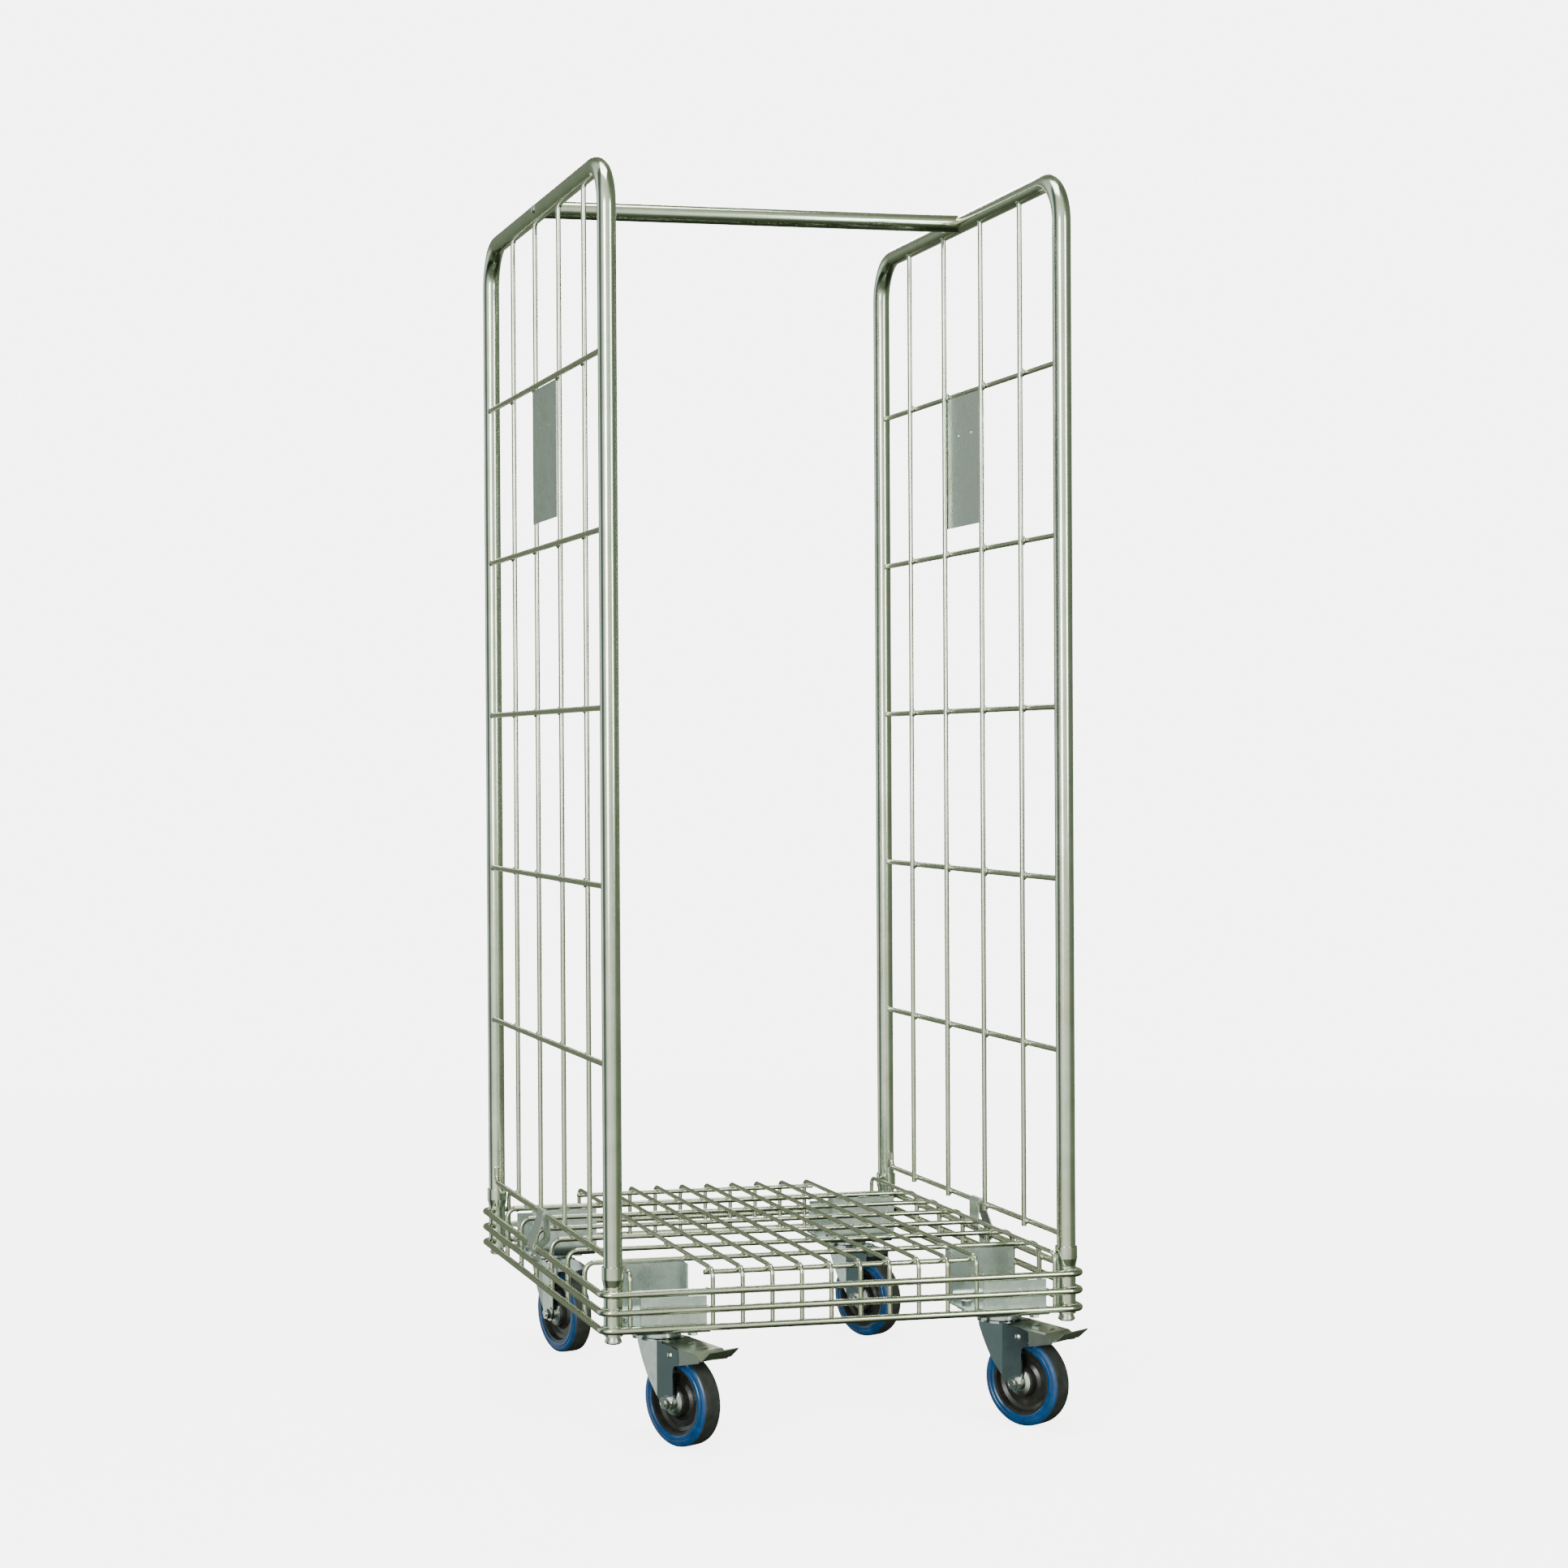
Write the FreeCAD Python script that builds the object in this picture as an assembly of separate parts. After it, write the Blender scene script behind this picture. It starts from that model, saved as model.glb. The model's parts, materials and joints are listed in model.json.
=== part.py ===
"""Roll cage container: a wire deck on four swivel casters, with two plug-in side frames and a top bar.

Millimetres, +Z up, floor at z = 0. The open front faces -Y, and the side frames stand at -X and +X.
The row origin lies on the floor under the middle of the whole outline. The brake pedals stick out in
front of the deck, so the cage's own centre is CAGE_Y behind that origin. Everything is modelled about
the cage's centre and moved back by CAGE_Y when it is written.
"""
import FreeCAD
import Part
import math
import os

V = FreeCAD.Vector

# Whole object
HEIGHT = 1805.0
DECK_WIDTH = 720.0
DECK_DEPTH = 800.0
CAGE_Y = 29.0

# Tubes, posts and their sockets
TUBE_R = 13.45
TUBE_WALL = 2.0
RIM_R = 5.0
POST_GAP = 0.05
POST_X = DECK_WIDTH / 2 - 2 * RIM_R - POST_GAP - TUBE_R
POST_Y = DECK_DEPTH / 2 - 2 * RIM_R - POST_GAP - TUBE_R
POST_FOOT_Z = 239.0
FRAME_BEND = 65.0
TOP_TUBE_Z = HEIGHT - TUBE_R
SOCKET_BOTTOM_Z = 160.0
SOCKET_NECK_Z = 228.0
SOCKET_MOUTH_Z = 239.0
SOCKET_TOP_Z = 256.0
SOCKET_MOUTH_R = 15.8

# Side frame wires
UPRIGHT_R = 3.75
UPRIGHT_YS = (-231.0, -77.0, 77.0, 231.0)
CROSS_R = 4.25
WIRE_LAYER = (UPRIGHT_R + CROSS_R) / 2
CROSS_PITCH = 248.5
TOP_CROSS_Z = 1528.5
CROSS_ZS = [TOP_CROSS_Z - CROSS_PITCH * i for i in range(5)]
BOTTOM_WIRE_R = 4.0
BOTTOM_WIRE_Z = 269.0
BOTTOM_WIRE_END_Z = 293.0
UPRIGHT_FOOT_Z = 262.0

# Label plates
LABEL_T = 1.5
LABEL_WIDTH = 154.0
LABEL_HEIGHT = 204.0
LABEL_HOLE_R = 2.5
LABEL_HOLE_SPACING = 53.0
LABEL_HOLE_DROP = 61.0

# Top bar
BAR_Y = 12.0
BAR_BOLT_R = 4.0

# Rim rods and deck wires
RIM_ZS = (219.0, 194.0, 169.0)
DECK_LENGTH_R = 3.25
DECK_CROSS_R = 3.75
DECK_CROSS_Z = 241.0
DECK_LENGTH_Z = DECK_CROSS_Z + DECK_CROSS_R + DECK_LENGTH_R
DECK_PITCH_X = 43.4
DECK_OUTER_X = 314.5
DECK_CROSS_PITCH = 102.0
DECK_END_Y = 368.0
DECK_END_HALF = 203.0
DECK_WIRE_FOOT_Z = 166.0

# Retaining straps
STRAP_Y = 26.0
STRAP_WIDTH = 36.0
STRAP_T = 2.0
STRAP_NECK_X = DECK_WIDTH / 2 - RIM_R - 2.6
STRAP_RIVET_Z = 205.0
STRAP_RIVET_R = 2.45

# Caster brackets
SHEET = 3.0
WEB_Z = 161.5
BRACKET_X = 252.5
BRACKET_WIDTH = 106.0
SHORT_FLANGE_WIDTH = 95.0
SHORT_FLANGE_TOP = 212.0
TALL_FLANGE_TOP = 237.2
TALL_FLANGE_Y = 255.0
TALL_FLANGE_BEND = 18.0
SHORT_FLANGE_BEND = 4.5
GUSSET_DEPTH = 22.0

# Casters. Local frame: x along the trail, y along the axle, z up, origin under the kingpin.
CASTER_X = 256.0
FRONT_CASTER_Y = 325.0
REAR_CASTER_Y = 345.0
TRAIL_DEGS = {"front_left": -64.0, "front_right": -60.0, "rear_left": -74.0, "rear_right": -65.0}
TRAIL = 48.0
WHEEL_R = 64.0
PLATE_TOP = WEB_Z - SHEET / 2
PLATE_X = 105.0
PLATE_Y = 85.0
BOLT_SPACING_X = 80.0
BOLT_SPACING_Y = 60.0
PLATE_BOLT_R = 4.0
KINGPIN_R = 6.0
CROWN_TOP = 147.0
CROWN_R = 32.0
RACE_BOTTOM = 152.0
BALL_R = 3.2
BALL_CIRCLE_R = 22.0
BALLS_PER_RACE = 14
RUNNING_GAP = 0.05
BODY_GAP = 0.3
LEG_OUTER = 27.3
LEG_FOLD_X = 25.0
LEG_FOLD_DEG = 8.0
LEG_ARM_X = 70.0
CROWN_FRONT_X = -24.0
CROWN_BACK_X = 34.0
AXLE_R = 5.0
TYRE_HALF = 17.0
TREAD_HALF = 13.0
RIM_SEAT_R = 48.0
BEARING_R = 16.0
SHIELD_R = 19.0
SHIELD_OUT = 20.5

# Brake pedals
PEDAL_T = 2.0
PEDAL_PIVOT_X = 52.0
PEDAL_PIVOT_Z = 130.0
PEDAL_PIVOT_R = 3.0
PEDAL_SWING_GAP = 1.8
PEDAL_EDGE_R = 3.0
PEDAL_FRONT = (39.0, 146.0)
PEDAL_BACK = (100.0, 141.0)
TAB_XS = (67.0, 93.0)

CORNERS = {"front_left": (-1, -1), "front_right": (1, -1), "rear_left": (-1, 1), "rear_right": (1, 1)}
SIDES = {"left": -1, "right": 1}


# Shapes that several parts share

def rod(start, end, radius):
    """A round bar between two points."""
    along = end - start
    return Part.makeCylinder(radius, along.Length, start, along)


def ring(outer, inner, start, end):
    """A round tube or washer between two points."""
    return rod(start, end, outer).cut(rod(start, end, inner))


def hexagon(centre, axis, across_flats, height):
    """A hexagonal prism that starts at centre and runs along a row axis or a caster's axle."""
    radius = across_flats / math.sqrt(3)
    corners = [V(radius * math.cos(math.radians(60 * i)), radius * math.sin(math.radians(60 * i)), 0)
               for i in range(7)]
    prism = Part.Face(Part.makePolygon(corners)).extrude(V(0, 0, height))
    prism.Placement = FreeCAD.Placement(centre, FreeCAD.Rotation(V(0, 0, 1), axis))
    return prism


def round_section(radius):
    """A section for bent_bar: a disc."""
    def make(origin, along):
        return Part.Face(Part.Wire(Part.makeCircle(radius, origin, along)))
    return make


def strip_section(width, thickness, across):
    """A section for bent_bar: a flat strip whose width lies along the vector across."""
    def make(origin, along):
        side = across * (width / 2)
        face = across.cross(along).normalize() * (thickness / 2)
        corners = [origin + side + face, origin - side + face, origin - side - face, origin + side - face]
        return Part.Face(Part.makePolygon(corners + corners[:1]))
    return make


def bent_bar(points, bends, section, closed=False):
    """A bar along straight runs joined by tangent bends, one bend radius for each inner point."""
    count = len(points)
    corners = range(count) if closed else range(1, count - 1)
    if not isinstance(bends, (list, tuple)):
        bends = [bends] * len(corners)
    starts = dict(enumerate(points))
    ends = dict(enumerate(points))
    pieces = []
    for index, bend in zip(corners, bends):
        before = (points[index] - points[index - 1]).normalize()
        after = (points[(index + 1) % count] - points[index]).normalize()
        turn = before.getAngle(after)
        reach = bend * math.tan(turn / 2)
        ends[index] = points[index] - before * reach
        starts[index] = points[index] + after * reach
        axis = before.cross(after).normalize()
        centre = ends[index] + axis.cross(before) * bend
        pieces.append(section(ends[index], before).revolve(centre, axis, math.degrees(turn)))
    for index in range(count if closed else count - 1):
        run = ends[(index + 1) % count] - starts[index]
        if run.Length > 0.01:
            pieces.append(section(starts[index], V(run).normalize()).extrude(run))
    return pieces[0].multiFuse(pieces[1:]).removeSplitter()


def turned(profile, axis=V(0, 0, 1)):
    """A solid of revolution from (radius, height) points about the vertical, laid along axis."""
    points = [V(radius, 0, height) for radius, height in profile]
    solid = Part.Face(Part.makePolygon(points + points[:1])).revolve(V(0, 0, 0), V(0, 0, 1), 360)
    solid.Placement = FreeCAD.Placement(V(0, 0, 0), FreeCAD.Rotation(V(0, 0, 1), axis))
    return solid


def dome(base, axis, radius, height):
    """A rivet's or bolt's domed head, flat side at base."""
    sphere_r = (radius ** 2 + height ** 2) / (2 * height)
    centre = base + axis * (height - sphere_r)
    return Part.makeSphere(sphere_r, centre).common(rod(base, base + axis * (2 * height), radius))


def box(low, high):
    """A box between two opposite corners."""
    size = high - low
    return Part.makeBox(size.x, size.y, size.z, low)


# Side frames: bent tube, wires, label plates

def side_frame_tube(side):
    """The inverted U of round tube whose feet plug into the sockets."""
    x = side * POST_X
    path = [V(x, -POST_Y, POST_FOOT_Z), V(x, -POST_Y, TOP_TUBE_Z), V(x, POST_Y, TOP_TUBE_Z),
            V(x, POST_Y, POST_FOOT_Z)]
    outer = bent_bar(path, FRAME_BEND, round_section(TUBE_R))
    inner = bent_bar(path, FRAME_BEND, round_section(TUBE_R - TUBE_WALL))
    bolt_hole = rod(V(x - 2 * TUBE_R, BAR_Y, TOP_TUBE_Z), V(x + 2 * TUBE_R, BAR_Y, TOP_TUBE_Z), BAR_BOLT_R)
    return outer.cut(inner).cut(bolt_hole)


def frame_envelope(side):
    """The side frame's tube without its bore, to trim what is welded against it."""
    x = side * POST_X
    posts = [rod(V(x, y, POST_FOOT_Z), V(x, y, TOP_TUBE_Z), TUBE_R) for y in (-POST_Y, POST_Y)]
    return posts + [rod(V(x, -POST_Y, TOP_TUBE_Z), V(x, POST_Y, TOP_TUBE_Z), TUBE_R)]


def panel_uprights(side):
    """Four upright wires on the inside, from under the top tube to just below the bottom wire."""
    x = side * (POST_X - WIRE_LAYER)
    top_tube = frame_envelope(side)[2]
    return [rod(V(x, y, UPRIGHT_FOOT_Z), V(x, y, TOP_TUBE_Z), UPRIGHT_R).cut(top_tube) for y in UPRIGHT_YS]


def panel_cross_wires(side):
    """Five horizontal wires on the outside, butted against the posts."""
    x = side * (POST_X + WIRE_LAYER)
    front_post, rear_post, top_tube = frame_envelope(side)
    wires = []
    for z in CROSS_ZS:
        wire = rod(V(x, -POST_Y, z), V(x, POST_Y, z), CROSS_R)
        wires.append(wire.cut(front_post).cut(rear_post))
    return wires


def panel_bottom_wire(side):
    """The lowest wire, whose ends turn up beside the posts and are welded to them."""
    x = side * (POST_X + WIRE_LAYER)
    beside_post = POST_Y - math.sqrt((TUBE_R + BOTTOM_WIRE_R) ** 2 - WIRE_LAYER ** 2)
    path = [V(x, -beside_post, BOTTOM_WIRE_END_Z), V(x, -beside_post, BOTTOM_WIRE_Z),
            V(x, beside_post, BOTTOM_WIRE_Z), V(x, beside_post, BOTTOM_WIRE_END_Z)]
    wire = bent_bar(path, 3 * BOTTOM_WIRE_R, round_section(BOTTOM_WIRE_R))
    return wire.cut(Part.makeCompound(panel_uprights(side)))


def label_plate(side):
    """A thin plate on the outside of the two middle uprights, under the top cross wire."""
    inner_x = POST_X - WIRE_LAYER + UPRIGHT_R
    top = TOP_CROSS_Z - CROSS_R
    low_x, high_x = sorted((side * inner_x, side * (inner_x + LABEL_T)))
    plate = box(V(low_x, -LABEL_WIDTH / 2, top - LABEL_HEIGHT), V(high_x, LABEL_WIDTH / 2, top))
    for y in (-LABEL_HOLE_SPACING / 2, LABEL_HOLE_SPACING / 2):
        z = top - LABEL_HOLE_DROP
        plate = plate.cut(rod(V(low_x - 1, y, z), V(high_x + 1, y, z), LABEL_HOLE_R))
    return plate


# Top bar

def top_bar():
    """The round tube between the side frames, its ends coped to the top tubes."""
    start = V(-POST_X, BAR_Y, TOP_TUBE_Z)
    bar = ring(TUBE_R, TUBE_R - TUBE_WALL, start, V(POST_X, BAR_Y, TOP_TUBE_Z))
    for side in SIDES.values():
        bar = bar.cut(frame_envelope(side)[2])
    return bar


def top_bar_fixings():
    """A threaded plug in each end of the bar, and the bolt that comes in from outside."""
    plug_out = POST_X - TUBE_R - 4
    plug_in = plug_out - 15
    head = POST_X + TUBE_R
    solids = []
    for side in SIDES.values():
        def at(x):
            return V(side * x, BAR_Y, TOP_TUBE_Z)
        solids.append(ring(TUBE_R - TUBE_WALL, BAR_BOLT_R, at(plug_in), at(plug_out)))
        bolt = rod(at(plug_in - 4), at(head), BAR_BOLT_R)
        bolt = bolt.fuse(dome(at(head - 1.2), V(side, 0, 0), 7.0, 5.0))
        solids.append(bolt.cut(side_frame_tube(side)).removeSplitter())
    return solids


# Deck and rim

def rim_rod(z):
    """One closed rod round the deck, bent close round the four sockets."""
    x = DECK_WIDTH / 2 - RIM_R
    y = DECK_DEPTH / 2 - RIM_R
    path = [V(-x, -y, z), V(x, -y, z), V(x, y, z), V(-x, y, z)]
    return bent_bar(path, x - POST_X, round_section(RIM_R), closed=True)


def deck_length_wires():
    """Twelve front-to-back wires on top of the deck, turned down inside the rim rods."""
    middle = [DECK_PITCH_X * (i - 4.5) for i in range(10)]
    y = DECK_DEPTH / 2 - 2 * RIM_R - DECK_LENGTH_R
    wires = []
    for x in [-DECK_OUTER_X] + middle + [DECK_OUTER_X]:
        path = [V(x, -y, DECK_WIRE_FOOT_Z), V(x, -y, DECK_LENGTH_Z), V(x, y, DECK_LENGTH_Z),
                V(x, y, DECK_WIRE_FOOT_Z)]
        wires.append(bent_bar(path, 4 * DECK_LENGTH_R, round_section(DECK_LENGTH_R)))
    return wires


def deck_cross_wires():
    """Six side-to-side wires under the length wires, turned down inside the rim rods."""
    x = DECK_WIDTH / 2 - 2 * RIM_R - DECK_CROSS_R
    wires = []
    for i in range(6):
        y = DECK_CROSS_PITCH * (i - 2.5)
        path = [V(-x, y, DECK_WIRE_FOOT_Z), V(-x, y, DECK_CROSS_Z), V(x, y, DECK_CROSS_Z),
                V(x, y, DECK_WIRE_FOOT_Z)]
        wires.append(bent_bar(path, 4 * DECK_CROSS_R, round_section(DECK_CROSS_R)))
    return wires


def deck_end_wires():
    """A short straight cross wire near each end of the deck."""
    return [rod(V(-DECK_END_HALF, y, DECK_CROSS_Z), V(DECK_END_HALF, y, DECK_CROSS_Z), DECK_CROSS_R)
            for y in (-DECK_END_Y, DECK_END_Y)]


def corner_socket(side, end):
    """A tube with an opened-out mouth that holds one foot of a side frame."""
    outer_low, outer_high = TUBE_R, SOCKET_MOUTH_R
    inner_low, inner_high = TUBE_R - TUBE_WALL, SOCKET_MOUTH_R - TUBE_WALL
    profile = [(inner_low, SOCKET_BOTTOM_Z), (outer_low, SOCKET_BOTTOM_Z), (outer_low, SOCKET_NECK_Z),
               (outer_high, SOCKET_MOUTH_Z), (outer_high, SOCKET_TOP_Z), (inner_high, SOCKET_TOP_Z),
               (inner_high, SOCKET_MOUTH_Z), (inner_low, SOCKET_NECK_Z)]
    socket = turned(profile)
    socket.translate(V(side * POST_X, end * POST_Y, 0))
    return socket


def socket_foot_plugs():
    """A mushroom plug pressed into the lower end of each socket."""
    bore = TUBE_R - TUBE_WALL
    profile = [(0, 149), (9.5, 149), (12.2, 151), (12.2, 153), (10.5, 157), (10, SOCKET_BOTTOM_Z),
               (bore, SOCKET_BOTTOM_Z), (bore, 174), (0, 174)]
    plugs = []
    for side, end in CORNERS.values():
        plug = turned(profile)
        plug.translate(V(side * POST_X, end * POST_Y, 0))
        plugs.append(plug)
    return plugs


# Retaining straps

def strap_y(side):
    """The side frames are one part turned about, so the straps sit on opposite halves."""
    return -side * STRAP_Y


def retaining_strap(side):
    """Strip steel folded over the bottom wire and round the top rim rod, closed by a rivet."""
    neck = STRAP_NECK_X
    wire_x = POST_X + WIRE_LAYER
    over = BOTTOM_WIRE_R + STRAP_T / 2 + 0.1
    rim_x = DECK_WIDTH / 2 - RIM_R
    round_rim = RIM_R + STRAP_T / 2 + 0.1
    low = STRAP_RIVET_Z - 5
    outline = [(neck - 1, low), (neck - 1, low + 9), (rim_x - round_rim - 0.5, RIM_ZS[0] - 3),
               (wire_x - over, RIM_ZS[0] + 11), (wire_x - over, BOTTOM_WIRE_Z + over),
               (wire_x + over, BOTTOM_WIRE_Z + over), (wire_x + over, BOTTOM_WIRE_Z - 4),
               (rim_x + round_rim, RIM_ZS[0] + 3), (rim_x + round_rim, RIM_ZS[0] - 4),
               (neck + 1, low + 9), (neck + 1, low)]
    path = [V(side * x, strap_y(side), z) for x, z in outline]
    bends = [3, 3, 3, 4.9, 4.9, 3, 3, 3, 3]
    strap = bent_bar(path, bends, strip_section(STRAP_WIDTH, STRAP_T, V(0, 1, 0)))
    hole = rod(V(side * (neck - 5), strap_y(side), STRAP_RIVET_Z),
               V(side * (neck + 5), strap_y(side), STRAP_RIVET_Z), STRAP_RIVET_R + RUNNING_GAP)
    return strap.cut(hole)


def strap_rivets():
    """One domed rivet through each strap, below the top rim rod."""
    rivets = []
    for side in SIDES.values():
        reach = STRAP_T + RUNNING_GAP
        inner = V(side * (STRAP_NECK_X - reach), strap_y(side), STRAP_RIVET_Z)
        outer = V(side * (STRAP_NECK_X + reach), strap_y(side), STRAP_RIVET_Z)
        heads = [dome(inner, V(-side, 0, 0), 3.7, 2.2), dome(outer, V(side, 0, 0), 3.7, 2.6)]
        rivets.append(rod(inner, outer, STRAP_RIVET_R).fuse(heads))
    return rivets


# Caster brackets and plates

def caster_bracket(side, end):
    """Folded sheet: short flange at the rim, web for the caster, tall flange up to the deck."""
    x = side * BRACKET_X
    rim_y = DECK_DEPTH / 2 - 2 * RIM_R - SHEET / 2
    path = [V(x, end * rim_y, SHORT_FLANGE_TOP), V(x, end * rim_y, WEB_Z),
            V(x, end * TALL_FLANGE_Y, WEB_Z), V(x, end * TALL_FLANGE_Y, TALL_FLANGE_TOP)]
    bends = [SHORT_FLANGE_BEND, TALL_FLANGE_BEND]
    bracket = bent_bar(path, bends, strip_section(BRACKET_WIDTH, SHEET, V(1, 0, 0)))
    step = (BRACKET_WIDTH - SHORT_FLANGE_WIDTH) / 2
    for edge in (-1, 1):
        corner = V(x + edge * (BRACKET_WIDTH / 2 - step / 2), end * rim_y, 0)
        notch = box(V(-step / 2 - 0.01, -2 * SHEET, WEB_Z + 8), V(step / 2 + 0.01, 2 * SHEET, HEIGHT))
        notch.translate(corner)
        bracket = bracket.cut(notch)
    bracket = bracket.fuse(bracket_gusset(side, end)).removeSplitter()
    kingpin = kingpin_place(side, end) + V(0, 0, WEB_Z)
    for x_off, y_off in bolt_offsets():
        centre = kingpin + V(x_off, y_off, 0)
        bracket = bracket.cut(rod(centre - V(0, 0, 5), centre + V(0, 0, 5), PLATE_BOLT_R))
    return bracket.cut(rod(kingpin - V(0, 0, 5), kingpin + V(0, 0, 5), 14.0))


def bracket_gusset(side, end):
    """The web that stiffens the tall flange along the bracket's inner edge."""
    inner_x = side * (BRACKET_X - BRACKET_WIDTH / 2)
    far = TALL_FLANGE_Y + GUSSET_DEPTH
    outline = [(TALL_FLANGE_Y, TALL_FLANGE_TOP), (far, TALL_FLANGE_TOP), (far, WEB_Z),
               (TALL_FLANGE_Y + TALL_FLANGE_BEND, WEB_Z), (TALL_FLANGE_Y, WEB_Z + TALL_FLANGE_BEND)]
    points = [V(inner_x, end * y, z) for y, z in outline]
    return Part.Face(Part.makePolygon(points + points[:1])).extrude(V(side * SHEET, 0, 0))


def kingpin_place(side, end):
    """The point on the floor under a caster's kingpin."""
    return V(side * CASTER_X, end * (REAR_CASTER_Y if end > 0 else FRONT_CASTER_Y), 0)


def bolt_offsets():
    """Where the four plate bolts sit about the kingpin."""
    return [(x * BOLT_SPACING_X / 2, y * BOLT_SPACING_Y / 2) for x in (-1, 1) for y in (-1, 1)]


def caster_top_plate(side, end):
    """The caster's rectangular plate, bolted under the bracket's web."""
    plate = box(V(-PLATE_X / 2, -PLATE_Y / 2, PLATE_TOP - SHEET), V(PLATE_X / 2, PLATE_Y / 2, PLATE_TOP))
    upright_edges = [edge for edge in plate.Edges if abs(edge.BoundBox.ZLength - SHEET) < 0.01]
    plate = plate.makeFillet(9.0, upright_edges)
    for x, y in bolt_offsets():
        plate = plate.cut(rod(V(x, y, PLATE_TOP - 5), V(x, y, PLATE_TOP + 1), PLATE_BOLT_R))
    plate = plate.cut(rod(V(0, 0, PLATE_TOP - 5), V(0, 0, PLATE_TOP + 1), KINGPIN_R))
    plate.translate(kingpin_place(side, end))
    return plate


def caster_plate_bolts():
    """Sixteen bolts with their nuts: heads above the webs, nuts under the plates."""
    head_z = WEB_Z + SHEET / 2
    nut_z = PLATE_TOP - SHEET
    down = V(0, 0, -1)
    solids = []
    for side, end in CORNERS.values():
        for x_off, y_off in bolt_offsets():
            place = kingpin_place(side, end) + V(x_off, y_off, 0)
            head = place + V(0, 0, head_z)
            nut = place + V(0, 0, nut_z)
            shank = rod(nut + down * 6.4, head, PLATE_BOLT_R)
            solids.append(shank.fuse(hexagon(head, V(0, 0, 1), 13.0, 5.3)))
            solids.append(hexagon(nut, down, 13.0, 5.8).cut(rod(nut + down * 10, nut, PLATE_BOLT_R)))
    return solids


def ball_groove(z):
    """The ring groove that the balls run in, as a cutting torus."""
    return Part.makeTorus(BALL_CIRCLE_R, BALL_R + RUNNING_GAP, V(0, 0, z), V(0, 0, 1))


def ball_height():
    """The balls' centres lie midway between the race and the fork's crown."""
    return (RACE_BOTTOM + CROWN_TOP) / 2


def swivel_race_rings():
    """The upper race under each caster plate, with a skirt that shields the balls."""
    plate_bottom = PLATE_TOP - SHEET
    profile = [(12, RACE_BOTTOM), (28.5, RACE_BOTTOM), (28.5, CROWN_TOP + 1.2), (31, CROWN_TOP + 1.2),
               (31, RACE_BOTTOM + 2), (28, plate_bottom), (12, plate_bottom)]
    rings = []
    for side, end in CORNERS.values():
        race = turned(profile).cut(ball_groove(ball_height()))
        race.translate(kingpin_place(side, end))
        rings.append(race)
    return rings


def swivel_balls():
    """The balls between the races."""
    balls = []
    for side, end in CORNERS.values():
        for i in range(BALLS_PER_RACE):
            angle = 2 * math.pi * i / BALLS_PER_RACE
            out = V(BALL_CIRCLE_R * math.cos(angle), BALL_CIRCLE_R * math.sin(angle), ball_height())
            balls.append(Part.makeSphere(BALL_R, kingpin_place(side, end) + out))
    return balls


def kingpins():
    """The headed pins that the forks swivel on."""
    neck = CROWN_TOP - SHEET - 0.5
    profile = [(0, 139.5), (9, 139.5), (11, 141), (11, neck), (KINGPIN_R, neck), (KINGPIN_R, PLATE_TOP),
               (10, PLATE_TOP), (10, PLATE_TOP + 2), (8, PLATE_TOP + 3), (0, PLATE_TOP + 3)]
    pins = []
    for side, end in CORNERS.values():
        pin = turned(profile)
        pin.translate(kingpin_place(side, end))
        pins.append(pin)
    return pins


# Swivelling parts of a caster, in its local frame

def leg_outline():
    """The side view of a fork leg with its arm for the pedal, as a prism right across the fork."""
    foot = V(TRAIL - 2, 0, WHEEL_R - 0.5)
    foot_r = 12.0
    leading = [V(CROWN_FRONT_X, 0, CROWN_TOP), V(-23, 0, 137), V(-17, 0, 124), V(-10, 0, 111), V(1, 0, 94),
               V(12.5, 0, 82)]
    arc_start = foot + V(-foot_r * math.cos(math.radians(20)), 0, -foot_r * math.sin(math.radians(20)))
    arc_end = foot + V(foot_r, 0, 0)
    nose = Part.Arc(arc_start, foot + V(0, 0, -foot_r), arc_end).toShape()
    trailing = [arc_end, V(arc_end.x, 0, 112), V(arc_end.x + 2.5, 0, 116), V(LEG_ARM_X, 0, 118.2),
                V(LEG_ARM_X, 0, 139.6), V(PEDAL_PIVOT_X, 0, 143.4), V(CROWN_BACK_X + 4, 0, 144.3),
                V(CROWN_BACK_X, 0, CROWN_TOP), leading[0]]
    edges = [Part.makeLine(a, b) for a, b in zip(leading, leading[1:] + [arc_start])]
    edges.append(nose)
    edges += [Part.makeLine(a, b) for a, b in zip(trailing, trailing[1:])]
    face = Part.Face(Part.Wire(edges))
    face.translate(V(0, -2 * LEG_OUTER, 0))
    return face.extrude(V(0, 4 * LEG_OUTER, 0))


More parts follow.
